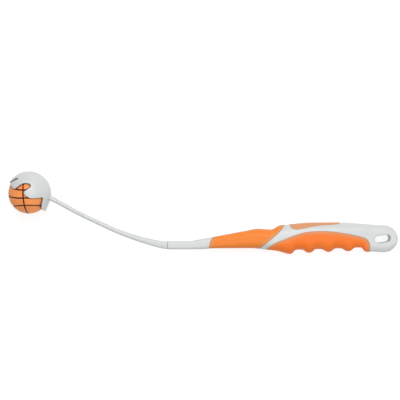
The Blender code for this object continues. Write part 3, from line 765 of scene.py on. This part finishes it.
def cup_runs():
    """Return the runs of places and normals along the cup's edge."""
    rim_line = np.vstack([on_cup(RIM_SHARES, 1), on_cup(RIM_SHARES, -1)[::-1]])
    front_line = on_cup(whole_front, -1)[:, ::-1]
    runs = []
    for line, other_cut in ((rim_line, in_front), (front_line, in_rim)):
        line = evenly(line, slice(0, 3), EDGE_STEP)
        normals = line.copy()
        normals[:, 1] = np.maximum(normals[:, 1], 0)
        normals /= np.linalg.norm(normals, axis=1)[:, None]
        runs += [(line[run], normals[run]) for run in runs_of(~other_cut(line))]
    return runs


def make_cup():
    """Make the dome, cut its fingers, round their lips and give it its wall."""
    shape = make_dome()
    edge = Edge(cup_runs(), off_cup)
    split_off, border, _ = cut_skin(shape, off_cup, edge, CUP_LIP)
    bmesh.ops.delete(shape, geom=split_off, context="FACES")
    line_skin(shape, border, edge, -CUP_LIP, CUP_WALL)
    lip = rounded_lip(CUP_LIP)
    rings = lip + [(out, CUP_WALL - deep) for out, deep in reversed(lip)] + [(-CUP_LIP, CUP_WALL)]
    run_lip(shape, border, edge, rings)
    bmesh.ops.remove_doubles(shape, verts=shape.verts, dist=CUP_WELD)
    return shape


def make_stub():
    """Make the flared stub that the arm's spigot goes into, from the middle of the cup's wall."""
    start, end = ARM_LINE_SHARES[0][0] * ARM_REACH, STUB_END_SHARE * ARM_REACH
    xs = np.linspace(start, end, STUB_RINGS * FINE_PARTS)
    lines = np.array([rod_ring(x) for x in xs])
    lines[-1] = rod_ring(xs[-1], END_ROUND)
    away = np.linalg.norm(lines, axis=2) > CUP_OUTER - CUP_WALL / 2
    first = np.argmax(away, axis=0)
    columns = np.arange(lines.shape[1])
    last = len(xs) - 1
    rings = [lines[(first + (last - first) * share).astype(int), columns]
             for share in np.linspace(0, 1, STUB_RINGS)]
    return draw_out(rings)


def unite(piece, other):
    """Join another object to a piece as one closed skin."""
    join = piece.modifiers.new("join", "BOOLEAN")
    join.operation = "UNION"
    join.solver = "EXACT"
    join.object = other
    view = bpy.context.evaluated_depsgraph_get()
    joined = bpy.data.meshes.new_from_object(piece.evaluated_get(view))
    piece.modifiers.remove(join)
    piece.data = joined
    bpy.data.objects.remove(other)


cup_lean = Matrix.Rotation(-CUP_LEAN, 4, "Z")
cup = finish_mesh(make_cup(), "cup_shell", white_plastic, at_rest @ cup_lean)
unite(cup, finish_mesh(make_stub(), "stub", white_plastic))
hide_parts("cup")
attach(cup, "thrower")

# Handle shells
# The handle's core is moulded in two white halves that meet on the middle plane, each with shallow
# pockets for the rubber grips and half of the hanging hole through the flat end.

HANDLE_LENGTH = 0.287
GRIP_HEIGHT = 0.039
GRIP_WIDTH = 0.028
FINGER_PITCH = 0.0245
LUG_RADIUS = 0.0167
LUG_WIDTH = 0.018
LUG_EDGE = 0.003
LUG_END_ANGLE = math.radians(88)
HANG_HOLE_LENGTH = 0.0198
HANG_HOLE_HEIGHT = 0.0092
HANG_HOLE_SLOPE = math.radians(8)
HANG_HOLE_SETBACK = 0.0024
HANG_HOLE_LIP = 0.0009
HANG_HOLE_LIP_STEPS = 5
PAD_DEPTH = 0.0018
POCKET_LIP = 0.0002
POCKET_GAP = 0.0001
SKIN_CELL = 0.0008
SKIN_GIRTH = 0.045
SECTION_ROUND_STEPS = 24
TABLE_STEP = 0.0003
TABLE_COLUMNS = 241
# The handle's outline: share of its length, then of the grip's height, measured down from its top.
NECK_LINE_SHARE = 0.722
TOP_SHARES = (
    (0.00, 0.590), (0.05, 0.600), (0.095, 0.595), (0.14, 0.535), (0.19, 0.472), (0.25, 0.394),
    (0.34, 0.268), (0.395, 0.202), (0.45, 0.225), (0.492, 0.086), (0.53, 0.058), (0.63, 0.00),
    (0.75, -0.005), (0.84, 0.030), (0.90, 0.070),
)
BOTTOM_START_SHARES = (
    (0.00, 0.851), (0.10, 0.852), (0.165, 0.845), (0.19, 0.818), (0.25, 0.813), (0.36, 0.812),
    (0.39, 0.822), (0.412, 0.853), (0.45, 0.874), (0.485, 0.914),
)
FIRST_RIDGE_SHARE = 0.531
RIDGE_SHARES = (1.000, 0.960, 0.935, 0.910, 0.932)
GROOVE_SHARES = (0.858, 0.840, 0.817, 0.788)
RIDGE_TOP_SHARE = 0.008
GROOVE_TOP_SHARE = 0.0146
TOP_FALL_SHARE = 0.009
LUG_LINE_SHARE = 0.513
WIDTH_SHARES = (
    (0.00, 0.50), (0.10, 0.50), (0.20, 0.57), (0.32, 0.78), (0.43, 0.95), (0.51, 1.00),
    (0.63, 0.94), (0.75, 0.83), (0.84, 0.71),
)
LUG_START_SHARE = 0.895
# How much of the section's width and height its rounded corners take up.
CORNER_WIDTH_SHARES = (
    (0.00, 0.52), (0.15, 0.62), (0.25, 0.82), (0.45, 0.94), (0.75, 0.94), (0.90, 0.55),
    (1.00, 0.55),
)
CORNER_HEIGHT_SHARES = (
    (0.00, 0.52), (0.15, 0.60), (0.25, 0.72), (0.45, 0.80), (0.75, 0.78), (0.90, 0.52),
    (1.00, 0.52),
)
# Edges of the rubber grips in the same shares, each closed past the handle's surface.
FRONT_GRIP_FRONT_SHARES = (
    (0.178, 1.00), (0.180, 0.80), (0.183, 0.65), (0.188, 0.55), (0.197, 0.47), (0.210, 0.38),
    (0.225, 0.25),
)
FRONT_GRIP_REAR_SHARES = (
    (0.512, -0.10), (0.508, 0.07), (0.498, 0.18), (0.474, 0.36), (0.438, 0.585), (0.412, 0.75),
    (0.392, 0.88), (0.378, 1.00),
)
FINGER_GRIP_SHARES = (
    (0.415, 0.97), (0.430, 0.83), (0.464, 0.655), (0.512, 0.505), (0.55, 0.40), (0.59, 0.31),
    (0.64, 0.27), (0.70, 0.275), (0.75, 0.315), (0.80, 0.385), (0.84, 0.45), (0.865, 0.53),
    (0.876, 0.66), (0.878, 0.80), (0.878, 1.00),
)
THUMB_PAD_SHARES = (
    (0.527, -0.08), (0.530, 0.06), (0.536, 0.15), (0.553, 0.206), (0.585, 0.180), (0.625, 0.120),
    (0.675, 0.075), (0.72, 0.055), (0.748, 0.01), (0.755, -0.08),
)
GRIP_MARGIN_SHARE = 0.2
# Where each grip's stretch of the handle starts and ends, as shares of the handle's length.
GRIPS = {"front_grip": (0.16, 0.53), "finger_grip": (0.39, 0.893), "thumb_pad": (0.50, 0.77)}
HOLE_ROUND_STEPS = 49
WELD = 0.000002
# Reading a table of the skin stops this many cells before its end, where a next cell is left.
LAST_CELL = 1.001


def handle_x(share):
    """Turn a share of the handle's length into a place along it."""
    return ARM_REACH + share * HANDLE_LENGTH


def handle_places(shares):
    """Turn shares of the handle into places."""
    return [(handle_x(along), -ARM_DROP + (NECK_LINE_SHARE - down) * GRIP_HEIGHT)
            for along, down in shares]


def broad_top(middle, down, half_top, fall):
    """Return the shares of a ridge's or a groove's broad top."""
    return [(middle - half_top, down + fall), (middle, down), (middle + half_top, down + fall)]


def underside_places():
    """Return the underside's places: the plain front, then the finger ridges and grooves."""
    shares = list(BOTTOM_START_SHARES)
    pitch_share = FINGER_PITCH / HANDLE_LENGTH
    for i, ridge in enumerate(RIDGE_SHARES):
        middle = FIRST_RIDGE_SHARE + i * pitch_share
        shares += broad_top(middle, ridge, RIDGE_TOP_SHARE, -TOP_FALL_SHARE)
        if i < len(GROOVE_SHARES):
            middle += pitch_share / 2
            shares += broad_top(middle, GROOVE_SHARES[i], GROOVE_TOP_SHARE, TOP_FALL_SHARE)
    return handle_places(shares)


handle_end = ARM_REACH + HANDLE_LENGTH
lug_x = handle_end - LUG_RADIUS
lug_y = handle_places([(1, LUG_LINE_SHARE)])[0][1]
top_line, bottom_line = (
    smooth_through([*places, (lug_x, lug_y + side * LUG_RADIUS)], level_ends=True)
    for places, side in ((handle_places(TOP_SHARES), 1), (underside_places(), -1))
)
half_widths = [(handle_x(along), share * GRIP_WIDTH / 2) for along, share in WIDTH_SHARES]
half_widths += [(handle_x(LUG_START_SHARE), LUG_WIDTH / 2), (handle_end, LUG_WIDTH / 2)]
width_line = smooth_through(half_widths, level_ends=True)
corner_lines = [
    smooth_through([(handle_x(along), share) for along, share in shares])
    for shares in (CORNER_WIDTH_SHARES, CORNER_HEIGHT_SHARES)
]


class HandleSkin:
    """One side of the handle's surface, by how far along it and how far round it a place lies."""

    def __init__(self, rise, parting):
        self.along = np.arange(ARM_REACH, lug_x + LUG_RADIUS * LUG_END_ANGLE, TABLE_STEP)
        self.round = np.linspace(0, 1, TABLE_COLUMNS)
        self.places = np.array([self.section(along, rise, parting) for along in self.along])
        self.normals = np.cross(np.gradient(self.places, axis=1), np.gradient(self.places, axis=0))
        self.normals[:, (0, -1), 2] = 0
        self.normals /= np.linalg.norm(self.normals, axis=2)[:, :, None]

    def section(self, along, rise, parting):
        """Return evenly spaced places round one section."""
        x, half_width = along, width_line(along)
        top, bottom = top_line(along), bottom_line(along)
        if along > lug_x:
            angle = (along - lug_x) / LUG_RADIUS
            x = lug_x + LUG_RADIUS * math.sin(angle)
            half_height = LUG_RADIUS * math.cos(angle)
            top, bottom = lug_y + half_height, lug_y - half_height
            past_edge = max(x - (handle_end - LUG_EDGE), 0)
            half_width += math.sqrt(LUG_EDGE ** 2 - past_edge ** 2) - LUG_EDGE
        corner = [line(x) for line in corner_lines]
        sides, heights = half_section(top, bottom, half_width, corner, rise, SECTION_ROUND_STEPS)
        sides = np.concatenate([[parting], sides, [parting]])
        heights = np.concatenate([heights[:1], heights, heights[-1:]])
        lengths = np.concatenate([[0], np.cumsum(np.hypot(np.diff(sides), np.diff(heights)))])
        wanted = self.round * lengths[-1]
        return np.column_stack([np.full(len(wanted), x), np.interp(wanted, lengths, heights),
                                np.interp(wanted, lengths, sides)])

    def at(self, along, share, table):
        """Read a table of the skin between its rows and columns."""
        row = np.clip((along - self.along[0]) / TABLE_STEP, 0, len(self.along) - LAST_CELL)
        column = np.clip(share * (TABLE_COLUMNS - 1), 0, TABLE_COLUMNS - LAST_CELL)
        i, j = row.astype(int), column.astype(int)
        a, b = (row - i)[:, None], (column - j)[:, None]
        low = (1 - b) * table[i, j] + b * table[i, j + 1]
        high = (1 - b) * table[i + 1, j] + b * table[i + 1, j + 1]
        return (1 - a) * low + a * high

    def sheet(self, start, end):
        """Return a fine sheet over the skin between two places along it."""
        shape = bmesh.new()
        bmesh.ops.create_grid(shape, x_segments=int((end - start) / SKIN_CELL),
                              y_segments=int(SKIN_GIRTH / SKIN_CELL), size=1 / 2)
        verts = list(shape.verts)
        flat = places_of(verts) + 1 / 2
        put_at(verts, self.at(start + flat[:, 0] * (end - start), flat[:, 1], self.places))
        bmesh.ops.reverse_faces(shape, faces=shape.faces)
        return shape

    def edge(self, outline, gone):
        """Lay an outline, seen square to the flat side, on the skin as an edge."""
        x, y = outline[:, 0], outline[:, 1]
        round_lug = LUG_RADIUS * np.arcsin(np.clip((x - lug_x) / LUG_RADIUS, -1, 1))
        along = np.where(x > lug_x, lug_x + round_lug, x)
        rows = np.clip(((along - self.along[0]) / TABLE_STEP).astype(int), 0, len(self.along) - 1)
        shares = np.array([np.interp(-height, -self.places[row, :, 1], self.round)
                           for row, height in zip(rows, y)])
        path = evenly(np.column_stack([along, shares, shares * SKIN_GIRTH]), (0, 2), EDGE_STEP)
        along, shares = path[:, 0], path[:, 1]
        on_skin = (shares > 0) & (shares < 1)
        on_skin |= np.roll(on_skin, 1) | np.roll(on_skin, -1)
        runs = []
        for run in runs_of(on_skin):
            normals = self.at(along[run], shares[run], self.normals)
            normals /= np.linalg.norm(normals, axis=1)[:, None]
            runs.append((self.at(along[run], shares[run], self.places), normals))
        return Edge(runs, gone, level_ends=not np.all(on_skin))


def grip_outline(name, grow=0.0):
    """Return a grip's closed outline, seen square to the flat side and grown by a distance."""
    (_, over), (_, under) = handle_places([(0, -GRIP_MARGIN_SHARE), (0, 1 + GRIP_MARGIN_SHARE)])
    if name == "front_grip":
        front, rear = (smooth_path(handle_places(shares), TABLE_STEP)
                       for shares in (FRONT_GRIP_FRONT_SHARES, FRONT_GRIP_REAR_SHARES))
        outline = np.vstack([front, [(front[-1][0], over), (rear[0][0], over)],
                             rear, [(rear[-1][0], under), (front[0][0], under)]])
    else:
        is_thumb = name == "thumb_pad"
        shares, margin = (THUMB_PAD_SHARES, over) if is_thumb else (FINGER_GRIP_SHARES, under)
        edge = smooth_path(handle_places(shares), TABLE_STEP)
        outline = np.vstack([edge, [(edge[-1][0], margin), (edge[0][0], margin)]])
    after = np.roll(outline, -1, axis=0)
    sides = after - outline
    area = np.sum(outline[:, 0] * after[:, 1] - after[:, 0] * outline[:, 1])
    normals = np.column_stack([sides[:, 1], -sides[:, 0]]) * math.copysign(1, area)
    normals /= np.linalg.norm(normals, axis=1)[:, None]
    corners = normals + np.roll(normals, 1, axis=0)
    return outline + corners * grow * 2 / np.sum(corners ** 2, axis=1)[:, None]


def hole_outline():
    """Return the hanging hole's outline, a slot with round ends that slopes a little."""
    radius = HANG_HOLE_HEIGHT / 2
    straight = (HANG_HOLE_LENGTH - HANG_HOLE_HEIGHT) / 2
    angles = np.linspace(-math.pi / 2, math.pi / 2, HOLE_ROUND_STEPS)
    half = np.column_stack([straight + radius * np.cos(angles), radius * np.sin(angles)])
    outline = np.vstack([half, -half, half[:1]]) @ np.array(Matrix.Rotation(-HANG_HOLE_SLOPE, 2))
    return outline + (lug_x - HANG_HOLE_SETBACK, lug_y)


def within(outline):
    """Return a test for the places inside a closed outline, seen square to the flat side."""
    return lambda places: inside(outline, places[:, :2])


def close_on_middle(shape, parting):
    """Close both ends of a half shell, and then its flat face on the middle plane."""
    for end in (min, max):
        x = end(vert.co.x for vert in shape.verts)
        loop = [line for line in shape.edges
                if all(abs(vert.co.x - x) < WELD for vert in line.verts)]
        corners = [vert for line in loop for vert in line.verts if abs(vert.co.z - parting) < WELD]
        loop.append(shape.edges.new(sorted(set(corners), key=lambda vert: vert.co.y)))
        bmesh.ops.contextual_create(shape, geom=loop)
    rest = [line for line in shape.edges if line.is_boundary]
    bmesh.ops.triangle_fill(shape, edges=rest, use_beauty=True, normal=(0, 0, -1))


def make_shell(side):
    """Make one half of the core: its skin, its pockets, its half of the hole and its flat face."""
    parting = SEAT_GAP / 2
    skin = HandleSkin(0, parting)
    shape = skin.sheet(skin.along[0], skin.along[-1])
    for name in GRIPS:
        outline = grip_outline(name, POCKET_GAP)
        gone = within(outline)
        edge = skin.edge(outline, gone)
        floor, border, seated = cut_skin(shape, gone, edge, POCKET_LIP)
        shape.normal_update()
        floor_verts = {vert for face in floor for vert in face.verts}
        places = [edge.ring(seated[vert], 0, PAD_DEPTH) if vert in seated else sink(vert, PAD_DEPTH)
                  for vert in floor_verts]
        put_at(floor_verts, places)
        run_lip(shape, border, edge, rounded_lip(POCKET_LIP) + [(0, PAD_DEPTH)])
    outline = hole_outline()
    gone = within(outline)
    edge = skin.edge(outline, gone)
    plug, border, _ = cut_skin(shape, gone, edge, HANG_HOLE_LIP)
    bmesh.ops.delete(shape, geom=plug, context="FACES")
    lip = rounded_lip(HANG_HOLE_LIP, HANG_HOLE_LIP_STEPS)
    run_lip(shape, border, edge, lip + [(0, LUG_WIDTH / 2 - parting)])
    bmesh.ops.remove_doubles(shape, verts=shape.verts, dist=WELD)
    close_on_middle(shape, parting)
    bmesh.ops.scale(shape, vec=(1, 1, side), verts=shape.verts)
    return shape


for name, side in (("handle_shell_left", -1), ("handle_shell_right", 1)):
    shell = finish_mesh(make_shell(side), name + "_core", white_plastic)
    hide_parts(name)
    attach(shell, "thrower")

# Rubber grips
# Three pieces of soft orange rubber pressed into the shells' pockets: a sleeve round the front, a
# pad with four finger grooves round the underside, and a thumb strip on top.

PAD_RISE = 0.0002
PAD_LIP = 0.0004
RUBBER_ORANGES = {
    "front_grip": {"A": (0.83, 0.20, 0.02, 1.0), "B": (0.85, 0.24, 0.034, 1.0)},
    "finger_grip": {"A": (0.88, 0.165, 0.014, 1.0), "B": (0.90, 0.20, 0.022, 1.0)},
    # The thumb pad's tan-brown is painted shade on the same orange rubber, darker for its narrow
    # strip facing away from the lamps.
    "thumb_pad": {"A": (0.68, 0.27, 0.12, 1.0), "B": (0.72, 0.30, 0.145, 1.0)},
}
RUBBER_INPUTS = {
    "wear": {"Scale": 45.0, "Detail": 4.0},
    # Painted shade: the rim and seam bands turn the orange tan-brown near a grip's rim and near the
    # middle plane, where its sides face away from the lamps.
    "rim_dust": {"From Max": 0.006, "To Min": 0.7, "To Max": 0.0},
    "seam_dust": {"From Max": 0.007, "To Min": 0.6, "To Max": 0.0},
    "skin": {"B": (0.58, 0.31, 0.14, 1.0)},
    "gloss": {"To Min": 0.5, "To Max": 0.62},
    "stipple": {"Scale": 1800.0},
    "bump": {"Strength": 0.3, "Distance": 0.0001},
    "shader": {"Specular IOR Level": 0.3},
}


def make_grip(name, ends):
    """Make a grip: the handle's skin inside its outline, raised a little, with a rounded lip."""
    skin = HandleSkin(PAD_RISE, 0)
    start, end = (handle_x(share) for share in ends)
    shape = skin.sheet(start, end)
    outline = grip_outline(name)

    def gone(places):
        return ~inside(outline, places[:, :2])

    edge = skin.edge(outline, gone)
    # The distances to the grip's rim and to the middle plane steer the painted shade of its finish.
    rim_paint = shape.verts.layers.float.new("rim_distance")
    seam_paint = shape.verts.layers.float.new("seam_distance")
    cut_off, border, _ = cut_skin(shape, gone, edge, PAD_LIP)
    bmesh.ops.delete(shape, geom=cut_off, context="FACES")
    depth = PAD_RISE + PAD_DEPTH - SEAT_GAP
    line_skin(shape, border, edge, 0, depth)
    run_lip(shape, border, edge, rounded_lip(PAD_LIP) + [(0, depth)])
    bmesh.ops.remove_doubles(shape, verts=shape.verts, dist=WELD)
    for vert in shape.verts:
        vert[rim_paint] = edge.nearest(vert.co)[1]
        vert[seam_paint] = vert.co.z
    bmesh.ops.mirror(shape, geom=[*shape.verts, *shape.edges, *shape.faces],
                     matrix=Matrix.Identity(4), merge_dist=WELD, axis="Z")
    return shape


def make_rubber_finish(name, oranges):
    """Make a grip's rubber: matt stippled orange with a mottle of wear, and painted shade along its
    rim and its sides.
    """
    finish, nodes = make_finish(
        name, {**RUBBER_INPUTS, "orange": oranges},
        [
            ("place", "Object", "wear", "Vector"),
            ("place", "Object", "stipple", "Vector"),
            ("wear", "Fac", "orange", "Factor"),
            ("rim", "Fac", "rim_dust", "Value"),
            ("seam", "Fac", "seam_dust", "Value"),
            ("rim_dust", "Result", "dust", 0),
            ("seam_dust", "Result", "dust", 1),
            ("dust", "Value", "skin", "Factor"),
            ("orange", "Result", "skin", "A"),
            ("skin", "Result", "shader", "Base Color"),
            ("wear", "Fac", "gloss", "Value"),
            ("gloss", "Result", "shader", "Roughness"),
            ("stipple", "Distance", "bump", "Height"),
            ("bump", "Normal", "shader", "Normal"),
        ],
        place="TexCoord", wear="TexNoise", orange="Mix", rim="Attribute", rim_dust="MapRange",
        seam="Attribute", seam_dust="MapRange", dust="Math", skin="Mix", gloss="MapRange",
        stipple="TexVoronoi", bump="Bump",
    )
    nodes["dust"].operation = "MAXIMUM"
    for part in ("rim", "seam"):
        nodes[part].attribute_name = part + "_distance"
        nodes[part + "_dust"].interpolation_type = "SMOOTHSTEP"
    return finish


for name, ends in GRIPS.items():
    finish = make_rubber_finish(name + "_rubber_matt", RUBBER_ORANGES[name])
    grip = finish_mesh(make_grip(name, ends), name + "_rubber", finish)
    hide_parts(name)
    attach(grip, "thrower")
